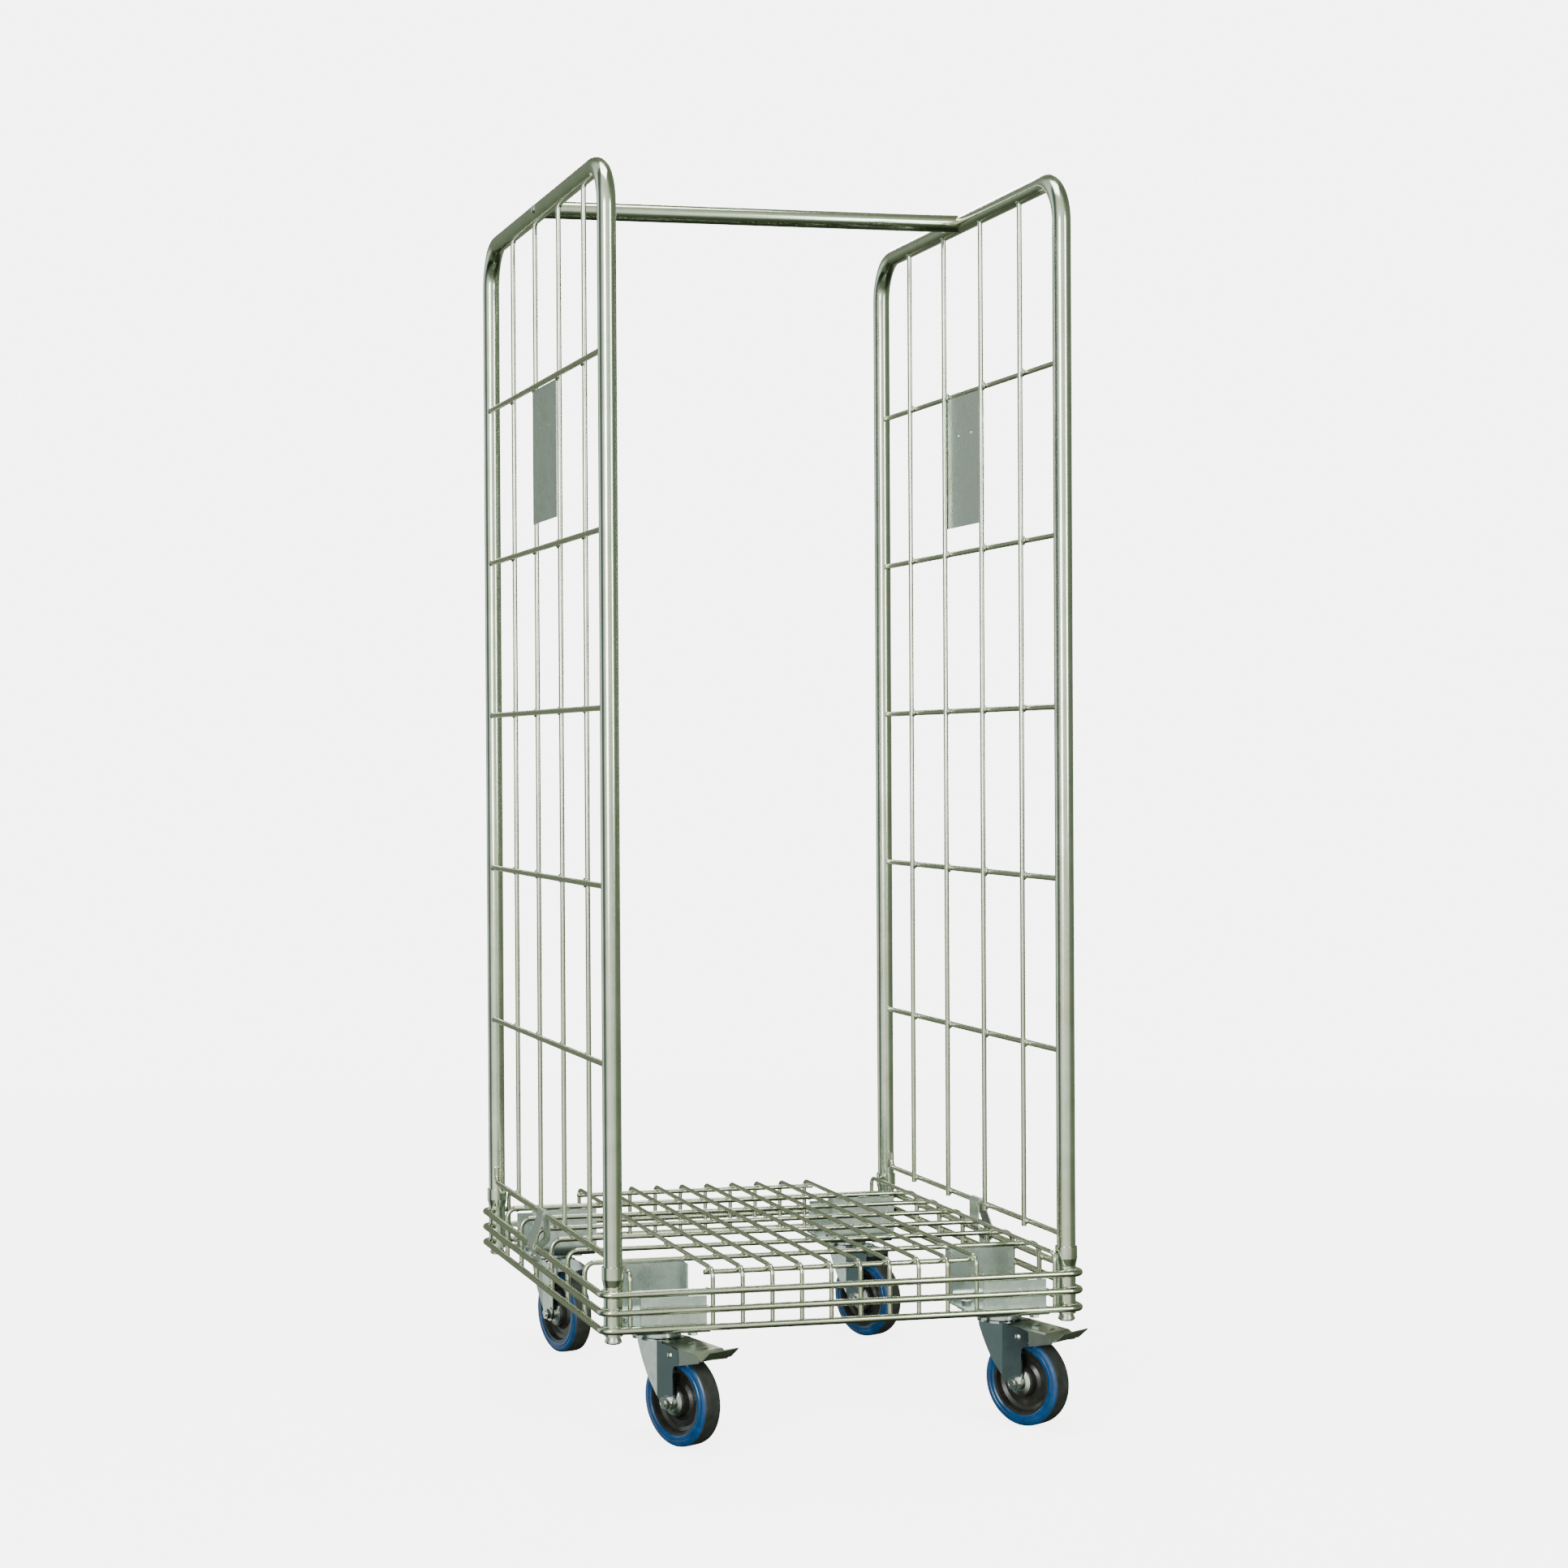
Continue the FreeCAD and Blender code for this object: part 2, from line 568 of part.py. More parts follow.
def caster_fork():
    """Pressed fork: crown with ball groove, and two legs whose leading edges lean inwards."""
    outline = leg_outline()
    middle = LEG_OUTER - SHEET / 2
    lean = math.tan(math.radians(LEG_FOLD_DEG))
    start_x = CROWN_FRONT_X - 20
    legs = []
    for hand in (-1, 1):
        start_y = hand * (middle - (LEG_FOLD_X - start_x) * lean)
        path = [V(start_x, start_y, 95), V(LEG_FOLD_X, hand * middle, 95), V(90, hand * middle, 95)]
        sheet = bent_bar(path, 10.0, strip_section(140, SHEET, V(0, 0, 1)))
        legs.append(sheet.common(outline))
    front_half = LEG_OUTER - (LEG_FOLD_X - CROWN_FRONT_X) * lean
    near = [(CROWN_FRONT_X, front_half), (LEG_FOLD_X, LEG_OUTER), (CROWN_BACK_X, LEG_OUTER)]
    plan = [V(x, -y, 0) for x, y in near] + [V(x, y, 0) for x, y in reversed(near)]
    crown = Part.Face(Part.makePolygon(plan + plan[:1])).extrude(V(0, 0, SHEET))
    crown.translate(V(0, 0, CROWN_TOP - SHEET))
    crown = crown.fuse(rod(V(0, 0, CROWN_TOP - SHEET), V(0, 0, CROWN_TOP), CROWN_R))
    fork = crown.fuse(legs).removeSplitter()
    fork = fork.cut(ball_groove(ball_height()))
    fork = fork.cut(rod(V(0, 0, CROWN_TOP - 10), V(0, 0, CROWN_TOP + 1), KINGPIN_R + RUNNING_GAP))
    return fork.cut(rod(V(TRAIL, -40, WHEEL_R), V(TRAIL, 40, WHEEL_R), AXLE_R))


def braked_fork():
    """A fork with the holes for the pedal's pivots."""
    pivot = V(PEDAL_PIVOT_X, 0, PEDAL_PIVOT_Z)
    return caster_fork().cut(rod(pivot - V(0, 40, 0), pivot + V(0, 40, 0), PEDAL_PIVOT_R))


def caster_axle():
    """Axle bolt with head washer, nut washer, nut, and a spacer washer each side of the wheel."""
    axle = V(TRAIL, 0, WHEEL_R)

    def at(y):
        return axle + V(0, y, 0)
    bolt = rod(at(-LEG_OUTER - 10), at(LEG_OUTER + 1.5), AXLE_R)
    bolt = bolt.fuse(hexagon(at(LEG_OUTER + 1.5), V(0, 1, 0), 16.0, 6.0))
    nut = hexagon(at(-LEG_OUTER - 1.5), V(0, -1, 0), 16.0, 7.0)
    nut = nut.cut(rod(at(-LEG_OUTER - 12), at(-LEG_OUTER), AXLE_R))
    inner = LEG_OUTER - SHEET
    washers = [ring(10.0, AXLE_R, at(-LEG_OUTER - 1.5), at(-LEG_OUTER)),
               ring(10.0, AXLE_R, at(LEG_OUTER), at(LEG_OUTER + 1.5)),
               ring(8.0, AXLE_R, at(-inner), at(-SHIELD_OUT - BODY_GAP)),
               ring(8.0, AXLE_R, at(SHIELD_OUT + BODY_GAP), at(inner))]
    return [bolt.removeSplitter(), nut] + washers


def on_axle(solid):
    """Moves a wheel part, turned about the axle's direction at the origin, onto the axle."""
    solid.translate(V(TRAIL, 0, WHEEL_R))
    return solid


def mirrored(half):
    """A symmetric wheel profile from the points of its upper half, outermost first."""
    return half + [(radius, -y) for radius, y in reversed(half)]


def wheel_hub():
    """The moulded centre: rim, dished web and boss."""
    half = [(BEARING_R, 16.5), (21, 16.5), (23.5, 8), (28, 5), (37, 4.5), (RIM_SEAT_R - 6, 7),
            (RIM_SEAT_R - 3.5, 14.5), (RIM_SEAT_R, 15)]
    return on_axle(turned(mirrored(half), V(0, 1, 0)))


def wheel_bearing():
    """The bearing in the hub, with its two end shields."""
    bore = AXLE_R + RUNNING_GAP
    half = [(bore, SHIELD_OUT), (13, SHIELD_OUT), (SHIELD_R, 18.5), (SHIELD_R, 16.6), (BEARING_R, 16.6)]
    return on_axle(turned(mirrored(half), V(0, 1, 0)))


def tyre():
    """The elastic tyre: flat tread, rounded shoulders and a step moulded in each side."""
    step = RIM_SEAT_R + 5.5
    half = [(RIM_SEAT_R, 16), (RIM_SEAT_R + 1.5, TYRE_HALF), (step, TYRE_HALF), (step + 1, TYRE_HALF - 0.8),
            (step + 2, TYRE_HALF - 0.2), (WHEEL_R - 5, TYRE_HALF - 0.8), (WHEEL_R - 2.2, TYRE_HALF - 2),
            (WHEEL_R - 0.7, TREAD_HALF + 0.6), (WHEEL_R - 0.2, TREAD_HALF - 1.4), (WHEEL_R, TREAD_HALF - 7)]
    return on_axle(turned(mirrored(half), V(0, 1, 0)))


def across(outline, low_y, high_y):
    """A prism from an (x, z) outline, from low_y to high_y."""
    points = [V(x, low_y, z) for x, z in outline]
    return Part.Face(Part.makePolygon(points + points[:1])).extrude(V(0, high_y - low_y, 0))


def pedal_top_line():
    """The start, direction and upward normal of the pedal's flat top, along its middle plane."""
    start = V(PEDAL_FRONT[0], 0, PEDAL_FRONT[1])
    along = (V(PEDAL_BACK[0], 0, PEDAL_BACK[1]) - start).normalize()
    return start, along, V(-along.z, 0, along.x)


def pedal_edge_rounder(hand):
    """What is cut from one long edge of the pedal's top to round it."""
    start, along, normal = pedal_top_line()
    out = V(0, hand, 0)
    edge = start + out * LEG_OUTER + normal * (PEDAL_T / 2) - along * 2
    length = along * (PEDAL_BACK[0] - PEDAL_FRONT[0] + 3)
    inward = edge - out * PEDAL_EDGE_R
    square = [edge, inward, inward - normal * PEDAL_EDGE_R, edge - normal * PEDAL_EDGE_R, edge]
    prism = Part.Face(Part.makePolygon(square)).extrude(length)
    axis = inward - normal * PEDAL_EDGE_R
    return prism.cut(rod(axis, axis + length, PEDAL_EDGE_R))


def pedal_tab(x):
    """A lanced tab on the pedal's top: a narrow slot with a tongue that rises towards it."""
    start, along, normal = pedal_top_line()
    z = start.z + along.z * (x - start.x) / along.x
    slot = box(V(x, -6, z - 4), V(x + 2.5, 6, z + 4))
    tongue = across([(x - 8, z), (x - 0.3, z + 3.2), (x, z + 1.6), (x - 1, z)], -5, 5)
    return slot, tongue


def brake_pedal():
    """Pressed pedal: top with an upturned tip, skirts in line with the legs, inner ears and a shoe."""
    spine = [V(PEDAL_FRONT[0], 0, PEDAL_FRONT[1]), V(PEDAL_BACK[0], 0, PEDAL_BACK[1]), V(116, 0, 130.5),
             V(134, 0, 146)]
    top = bent_bar(spine, 5.0, strip_section(2 * LEG_OUTER, PEDAL_T, V(0, 1, 0)))
    skirt = [(LEG_ARM_X + BODY_GAP, 143.5), PEDAL_BACK, (113, 132.5), (112, 128),
             (LEG_ARM_X + PEDAL_SWING_GAP, 118.7)]
    ear = [(42, 145.7), (84, 142.3), (84, 127), (60, 122.5), (47, 122.5), (42, 127)]
    ear_out = LEG_OUTER - SHEET - BODY_GAP
    sides = []
    for hand in (-1, 1):
        sides.append(across(skirt, hand * (LEG_OUTER - PEDAL_T), hand * LEG_OUTER))
        sides.append(across(ear, hand * (ear_out - PEDAL_T), hand * ear_out))
    shoe = box(V(73, -11, 126.5), V(85, 11, 142.5))
    pedal = top.fuse(sides + [shoe])
    for hand in (-1, 1):
        pedal = pedal.cut(pedal_edge_rounder(hand))
    for x in TAB_XS:
        slot, tongue = pedal_tab(x)
        pedal = pedal.cut(slot).fuse(tongue)
    pivot = V(PEDAL_PIVOT_X, 0, PEDAL_PIVOT_Z)
    bore = rod(pivot - V(0, 40, 0), pivot + V(0, 40, 0), PEDAL_PIVOT_R + RUNNING_GAP)
    return pedal.cut(bore).removeSplitter()


def pedal_pivots():
    """The two stub rivets that join the pedal's ears to the fork's legs."""
    rivets = []
    pivot = V(PEDAL_PIVOT_X, 0, PEDAL_PIVOT_Z)
    for hand in (-1, 1):
        out = V(0, hand, 0)
        inside = pivot + out * (LEG_OUTER - SHEET - PEDAL_T - 2 * BODY_GAP)
        outside = pivot + out * LEG_OUTER
        shank = rod(inside - out * 1.5, outside, PEDAL_PIVOT_R)
        rivets.append(shank.fuse([rod(inside - out * 1.5, inside, 4.5), dome(outside, out, 5.0, 2.5)]))
    return rivets


def at_corner(solids, name):
    """Turns a caster's local parts to their trail direction and sets them under one corner."""
    placed = []
    for solid in solids if isinstance(solids, list) else [solids]:
        solid = solid.copy()
        solid.rotate(V(0, 0, 0), V(0, 0, 1), TRAIL_DEGS[name])
        solid.translate(kingpin_place(*CORNERS[name]))
        placed.append(solid)
    return placed


def write_node(name, solids):
    """Writes one sub-part, moved from the cage's centre to the row origin."""
    solids = solids if isinstance(solids, list) else [solids]
    shape = Part.makeCompound(solids) if len(solids) > 1 else solids[0]
    shape = shape.copy()
    shape.translate(V(0, CAGE_Y, 0))
    shape.exportStep(os.path.join("parts", name + ".step"))


def write_frames():
    for name, side in SIDES.items():
        write_node("side_frame_tube_" + name, side_frame_tube(side))
        write_node("panel_uprights_" + name, panel_uprights(side))
        write_node("panel_cross_wires_" + name, panel_cross_wires(side))
        write_node("panel_bottom_wire_" + name, panel_bottom_wire(side))
    write_node("label_plates", [label_plate(side) for side in SIDES.values()])
    write_node("retaining_straps", [retaining_strap(side) for side in SIDES.values()])
    write_node("strap_rivets", strap_rivets())
    write_node("top_bar", top_bar())
    write_node("top_bar_fixings", top_bar_fixings())


def write_base():
    for name, z in zip(("top", "middle", "bottom"), RIM_ZS):
        write_node("rim_rod_" + name, rim_rod(z))
    write_node("deck_length_wires", deck_length_wires())
    write_node("deck_cross_wires", deck_cross_wires())
    write_node("deck_end_wires", deck_end_wires())
    write_node("socket_foot_plugs", socket_foot_plugs())
    write_node("caster_plate_bolts", caster_plate_bolts())
    write_node("swivel_race_rings", swivel_race_rings())
    write_node("swivel_balls", swivel_balls())
    write_node("kingpins", kingpins())
    for name, (side, end) in CORNERS.items():
        write_node("corner_socket_" + name, corner_socket(side, end))
        write_node("caster_bracket_" + name, caster_bracket(side, end))
        write_node("caster_top_plate_" + name, caster_top_plate(side, end))


def write_casters():
    for name, (side, end) in CORNERS.items():
        braked = end < 0
        write_node("caster_fork_" + name, at_corner(braked_fork() if braked else caster_fork(), name))
        write_node("caster_axle_" + name, at_corner(caster_axle(), name))
        write_node("wheel_hub_" + name, at_corner(wheel_hub(), name))
        write_node("wheel_bearing_" + name, at_corner(wheel_bearing(), name))
        write_node("tyre_" + name, at_corner(tyre(), name))
        if braked:
            write_node("brake_pedal_" + name, at_corner(brake_pedal(), name))
            write_node("pedal_pivots_" + name, at_corner(pedal_pivots(), name))


os.makedirs("parts", exist_ok=True)
write_frames()
write_base()
write_casters()
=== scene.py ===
import json
import math
import random

import bmesh
import bpy
from mathutils import Matrix, Vector, noise


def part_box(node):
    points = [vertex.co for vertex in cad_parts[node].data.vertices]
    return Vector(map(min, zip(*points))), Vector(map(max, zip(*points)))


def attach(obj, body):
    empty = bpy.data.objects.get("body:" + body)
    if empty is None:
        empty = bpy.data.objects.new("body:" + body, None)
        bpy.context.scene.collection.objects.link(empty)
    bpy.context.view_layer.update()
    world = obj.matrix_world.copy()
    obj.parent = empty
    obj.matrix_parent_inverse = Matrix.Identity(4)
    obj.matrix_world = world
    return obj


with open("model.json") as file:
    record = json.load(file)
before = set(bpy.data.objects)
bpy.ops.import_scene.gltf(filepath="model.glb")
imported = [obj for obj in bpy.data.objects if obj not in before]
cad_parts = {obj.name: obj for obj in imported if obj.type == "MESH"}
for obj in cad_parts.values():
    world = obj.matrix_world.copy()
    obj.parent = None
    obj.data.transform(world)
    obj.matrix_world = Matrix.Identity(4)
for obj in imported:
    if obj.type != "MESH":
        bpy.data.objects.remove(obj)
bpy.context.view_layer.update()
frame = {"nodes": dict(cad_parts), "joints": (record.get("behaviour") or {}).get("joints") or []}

CORNERS = {"front_left": (-1, -1), "front_right": (1, -1), "rear_left": (-1, 1), "rear_right": (1, 1)}
SIDES = {"left": -1, "right": 1}
JOINTS = {joint["name"]: joint for joint in frame["joints"]}


# Camera, light and floor

CAMERA_PLACE = (-1.3463, -4.2391, 0.9646)
# In radians: turned from +Y towards +X, tipped down, and tilted about the line of sight
CAMERA_YAW, CAMERA_PITCH, CAMERA_ROLL = 0.2194, 0.0095, -0.0065
LENS_MM = 66.62
SENSOR_MM = 36.0
SIDE_SHIFT = 0.1749
SURROUND_STRENGTH = 1.5
BACKDROP_STRENGTH = 6.0
FLOOR_GLOW = 4.5
FLOOR_FADE = (1.2, 4.5)

# What the zinc reflects: the room's tone by heading, in degrees from +X, and by height, -1 to 1
ROOM_ROUND = [(-180, (0.09, 0.12, 0.12)), (-168, (0.50, 0.55, 0.52)), (-155, (1.1, 1.1, 1.05)),
              (-112, (1.1, 1.1, 1.0)), (-76, (0.80, 0.86, 0.78)), (-50, (0.22, 0.25, 0.18)),
              (-15, (0.15, 0.18, 0.13)), (25, (0.16, 0.19, 0.145)), (50, (0.28, 0.31, 0.25)),
              (70, (0.16, 0.18, 0.13)), (111, (0.16, 0.19, 0.14)), (126, (0.75, 0.80, 0.75)),
              (149, (0.90, 0.96, 0.92)), (154, (0.10, 0.14, 0.15)), (180, (0.09, 0.12, 0.12))]
ROOM_UP = [(-1.0, (0.08, 0.10, 0.07)), (-0.52, (0.14, 0.16, 0.12)), (-0.2, (0.90, 0.90, 0.85)),
           (0.3, (1.0, 1.0, 1.0)), (0.7, (0.75, 0.78, 0.70)), (1.0, (0.9, 0.9, 0.85))]


def add_camera():
    """A camera at chest height in front and to the left, with a long lens."""
    ahead = math.cos(CAMERA_PITCH)
    look = Vector((math.sin(CAMERA_YAW) * ahead, math.cos(CAMERA_YAW) * ahead, -math.sin(CAMERA_PITCH)))
    level = Vector((math.cos(CAMERA_YAW), -math.sin(CAMERA_YAW), 0))
    up = level.cross(look)
    right = level * math.cos(CAMERA_ROLL) + up * math.sin(CAMERA_ROLL)
    top = up * math.cos(CAMERA_ROLL) - level * math.sin(CAMERA_ROLL)
    data = bpy.data.cameras.new("camera")
    data.sensor_width = SENSOR_MM
    data.lens = LENS_MM
    data.shift_x = SIDE_SHIFT
    data.clip_end = 100.0
    camera = bpy.data.objects.new("camera", data)
    camera.matrix_world = Matrix((right, top, -look)).transposed().to_4x4()
    camera.location = CAMERA_PLACE
    bpy.context.scene.collection.objects.link(camera)
    bpy.context.scene.camera = camera


def add_area_light(name, place, target, size, power, colour):
    """A soft box that faces a point."""
    data = bpy.data.lights.new(name, "AREA")
    data.shape = "RECTANGLE"
    data.size, data.size_y = size
    data.energy = power
    data.color = colour
    light = bpy.data.objects.new(name, data)
    light.location = place
    light.rotation_euler = (Vector(target) - Vector(place)).to_track_quat("-Z", "Y").to_euler()
    bpy.context.scene.collection.objects.link(light)


def add_lights():
    """Soft boxes in front, behind and overhead; the surround does the rest."""
    middle = (0, 0, 0.9)
    add_area_light("front_left_light", (-2.9, -3.6, 1.9), middle, (1.3, 2.6), 150, (1.0, 1.0, 0.97))
    add_area_light("front_right_light", (1.9, -4.0, 2.0), middle, (0.8, 2.4), 70, (0.95, 1.0, 1.0))
    add_area_light("rear_light", (0.9, 3.6, 3.4), middle, (1.6, 1.4), 90, (0.97, 1.0, 1.0))
    add_area_light("top_light", (-0.3, -0.4, 4.4), (0, 0, 0.6), (1.8, 1.8), 110, (1.0, 1.0, 0.95))


def ramp_node(nodes, stops):
    """A colour ramp from (position, colour) stops."""
    node = nodes.new("ShaderNodeValToRGB")
    elements = node.color_ramp.elements
    while len(elements) < len(stops):
        elements.new(0.5)
    for element, (position, colour) in zip(elements, stops):
        element.position = position
        element.color = (*colour, 1)
    return node


def add_world():
    """A white backdrop, and a room for the zinc to reflect: bright at the front left and the rear left."""
    world = bpy.data.worlds.new("studio")
    world.use_nodes = True
    nodes, links = world.node_tree.nodes, world.node_tree.links
    nodes.clear()
    split = nodes.new("ShaderNodeSeparateXYZ")
    links.new(nodes.new("ShaderNodeTexCoord").outputs["Generated"], split.inputs[0])
    heading = nodes.new("ShaderNodeMath")
    heading.operation = "ARCTAN2"
    links.new(split.outputs["Y"], heading.inputs[0])
    links.new(split.outputs["X"], heading.inputs[1])
    around = ramp_node(nodes, [((degrees + 180) / 360, colour) for degrees, colour in ROOM_ROUND])
    height = ramp_node(nodes, [((rise + 1) / 2, colour) for rise, colour in ROOM_UP])
    for value, limit, ramp in ((heading.outputs[0], math.pi, around), (split.outputs["Z"], 1.0, height)):
        share = nodes.new("ShaderNodeMapRange")
        share.inputs["From Min"].default_value = -limit
        share.inputs["From Max"].default_value = limit
        links.new(value, share.inputs["Value"])
        links.new(share.outputs["Result"], ramp.inputs["Fac"])
    both = nodes.new("ShaderNodeMix")
    both.data_type = "RGBA"
    both.blend_type = "MULTIPLY"
    both.inputs["Factor"].default_value = 1.0
    links.new(around.outputs["Color"], both.inputs[6])
    links.new(height.outputs["Color"], both.inputs[7])
    surround = nodes.new("ShaderNodeBackground")
    surround.inputs["Strength"].default_value = SURROUND_STRENGTH
    links.new(both.outputs[2], surround.inputs["Color"])
    backdrop = nodes.new("ShaderNodeBackground")
    backdrop.inputs["Color"].default_value = (1, 1, 1, 1)
    backdrop.inputs["Strength"].default_value = BACKDROP_STRENGTH
    mix = nodes.new("ShaderNodeMixShader")
    links.new(nodes.new("ShaderNodeLightPath").outputs["Is Camera Ray"], mix.inputs["Fac"])
    links.new(surround.outputs[0], mix.inputs[1])
    links.new(backdrop.outputs[0], mix.inputs[2])
    links.new(mix.outputs[0], nodes.new("ShaderNodeOutputWorld").inputs["Surface"])
    bpy.context.scene.world = world


def floor_material():
    """White near the object, and thinning out further off so that no horizon shows."""
    tree = Nodes("pale_floor")
    shade = tree.noise(1.5, 2.0)
    colour = tree.ramp(shade, [(0.3, (0.84, 0.85, 0.84)), (0.7, (0.88, 0.88, 0.87))])
    tree.finish(colour, tree.levels(shade, 0.70, 0.80))
    tree.shader.inputs["Emission Color"].default_value = (1, 1, 1, 1)
    tree.shader.inputs["Emission Strength"].default_value = FLOOR_GLOW
    reach = tree.nodes.new("ShaderNodeVectorMath")
    reach.operation = "LENGTH"
    clear = tree.nodes.new("ShaderNodeBsdfTransparent")
    mix = tree.nodes.new("ShaderNodeMixShader")
    tree.links.new(tree.place, reach.inputs[0])
    tree.links.new(tree.levels(reach.outputs["Value"], 0.0, 1.0, *FLOOR_FADE), mix.inputs["Fac"])
    tree.links.new(tree.shader.outputs[0], mix.inputs[1])
    tree.links.new(clear.outputs[0], mix.inputs[2])
    tree.links.new(mix.outputs[0], tree.nodes["Material Output"].inputs["Surface"])
    return tree.material


def add_floor():
    """A pale floor that the zinc doesn't reflect."""
    mesh = bpy.data.meshes.new("floor")
    half = 1.1 * FLOOR_FADE[1]
    corners = [(-half, -half, 0), (half, -half, 0), (half, half, 0), (-half, half, 0)]
    mesh.from_pydata(corners, [], [(0, 1, 2, 3)])
    mesh.materials.append(floor_material())
    floor = bpy.data.objects.new("floor", mesh)
    floor.visible_glossy = False
    floor.visible_diffuse = False
    bpy.context.scene.collection.objects.link(floor)


# Materials

TARNISH = (0.46, 0.40, 0.22)
GRAIN_SHARE = 0.38
SPECKS_PER_M = 420.0
CRYSTALS_PER_M = 95.0


class Nodes:
    """A material's node tree, with short calls for the nodes that the finishes share."""

    def __init__(self, name):
        self.material = bpy.data.materials.new(name)
        self.material.use_nodes = True
        self.nodes = self.material.node_tree.nodes
        self.links = self.material.node_tree.links
        self.shader = self.nodes["Principled BSDF"]
        self.place = self.nodes.new("ShaderNodeTexCoord").outputs["Object"]

    def stretched(self, scale):
        """Object coordinates scaled by axis, so that a pattern runs along one of them."""
        mapping = self.nodes.new("ShaderNodeMapping")
        mapping.inputs["Scale"].default_value = scale
        self.links.new(self.place, mapping.inputs["Vector"])
        return mapping.outputs["Vector"]

    def noise(self, scale, detail=4.0, vector=None, rough=0.55):
        node = self.nodes.new("ShaderNodeTexNoise")
        node.inputs["Scale"].default_value = scale
        node.inputs["Detail"].default_value = detail
        node.inputs["Roughness"].default_value = rough
        self.links.new(vector or self.place, node.inputs["Vector"])
        return node.outputs["Fac"]

    def cells(self, scale):
        """Crystal cells, as hot zinc leaves on sheet."""
        node = self.nodes.new("ShaderNodeTexVoronoi")
        node.inputs["Scale"].default_value = scale
        self.links.new(self.place, node.inputs["Vector"])
        split = self.nodes.new("ShaderNodeSeparateColor")
        self.links.new(node.outputs["Color"], split.inputs[0])
        return split.outputs[0]

    def ramp(self, fac, stops):
        node = ramp_node(self.nodes, stops)
        self.links.new(fac, node.inputs["Fac"])
        return node.outputs["Color"]

    def levels(self, fac, low, high, start=0.0, end=1.0):
        node = self.nodes.new("ShaderNodeMapRange")
        node.inputs["From Min"].default_value = start
        node.inputs["From Max"].default_value = end
        node.inputs["To Min"].default_value = low
        node.inputs["To Max"].default_value = high
        self.links.new(fac, node.inputs["Value"])
        return node.outputs["Result"]

    def math(self, kind, a, b):
        node = self.nodes.new("ShaderNodeMath")
        node.operation = kind
        for socket, value in zip(node.inputs, (a, b)):
            if isinstance(value, (int, float)):
                socket.default_value = value
            else:
                self.links.new(value, socket)
        return node.outputs["Value"]

    def blend(self, a, b, share):
        """Two values, with b's share of the sum."""
        return self.math("ADD", self.math("MULTIPLY", a, 1.0 - share), self.math("MULTIPLY", b, share))

    def mix(self, fac, a, b):
        node = self.nodes.new("ShaderNodeMix")
        node.data_type = "RGBA"
        for socket, value in zip((node.inputs["Factor"], node.inputs[6], node.inputs[7]), (fac, a, b)):
            if isinstance(value, tuple):
                socket.default_value = value if len(value) == 4 else (*value, 1)
            elif isinstance(value, float):
                socket.default_value = value
            else:
                self.links.new(value, socket)
        return node.outputs[2]

    def bump(self, height, strength, distance):
        node = self.nodes.new("ShaderNodeBump")
        node.inputs["Strength"].default_value = strength
        node.inputs["Distance"].default_value = distance
        self.links.new(height, node.inputs["Height"])
        self.links.new(node.outputs["Normal"], self.shader.inputs["Normal"])

    def finish(self, colour, roughness, metallic=None):
        self.links.new(colour, self.shader.inputs["Base Color"])
        self.links.new(roughness, self.shader.inputs["Roughness"])
        if metallic is not None:
            self.shader.inputs["Metallic"].default_value = metallic
        return self.material


def zinc(name, dark, light, rough, grain, mottle=22.0, spangle=0.0, tarnish=0.0, relief=0.10):
    """Zinc on steel: cloudy tint, fine drawn grain, crystal cells on sheet, and yellowish tarnish."""
    tree = Nodes(name)
    cloud = tree.noise(mottle, 5.0)
    fine = tree.noise(1.0, 3.0, tree.stretched(grain))
    speck = tree.noise(SPECKS_PER_M, 2.0)
    tone = tree.blend(cloud, fine, GRAIN_SHARE)
    if spangle:
        tone = tree.blend(tone, tree.cells(CRYSTALS_PER_M), spangle)
    middle = tuple((a + b) / 2 for a, b in zip(dark, light))
    colour = tree.ramp(tone, [(0.30, dark), (0.5, middle), (0.68, light)])
    if tarnish:
        patches = tree.levels(tree.noise(14.0, 4.0), 0.0, tarnish, 0.54, 0.68)
        colour = tree.mix(patches, colour, TARNISH)
    marks = tree.levels(speck, 0.0, 0.30, 0.66, 0.74)
    colour = tree.mix(marks, colour, tuple(c * 0.6 for c in dark))
    low, high = rough
    roughness = tree.levels(tone, high, low, 0.32, 0.66)
    tree.bump(tree.blend(fine, speck, 0.5), relief, 0.0001)
    return tree.finish(colour, roughness, 1.0)


def weld_material():
    """Weld metal under zinc: uneven and duller than the rod beside it."""
    tree = Nodes("zinc_weld")
    lumps = tree.noise(260.0, 4.0)
    colour = tree.ramp(lumps, [(0.3, (0.26, 0.28, 0.23)), (0.5, (0.48, 0.51, 0.44)),
                               (0.7, (0.66, 0.69, 0.61))])
    tree.bump(lumps, 0.45, 0.0005)
    return tree.finish(colour, tree.levels(lumps, 0.26, 0.44), 1.0)


def hub_material():
    """Moulded black plastic, glossy, with a faint grain and brownish dust."""
    tree = Nodes("hub_black_plastic")
    grain = tree.noise(900.0, 2.0)
    dust = tree.noise(35.0, 5.0)
    colour = tree.ramp(dust, [(0.35, (0.010, 0.011, 0.010)), (0.65, (0.024, 0.024, 0.021)),
                              (0.85, (0.075, 0.060, 0.042))])
    tree.bump(grain, 0.10, 0.0002)
    return tree.finish(colour, tree.levels(dust, 0.16, 0.38), 0.0)


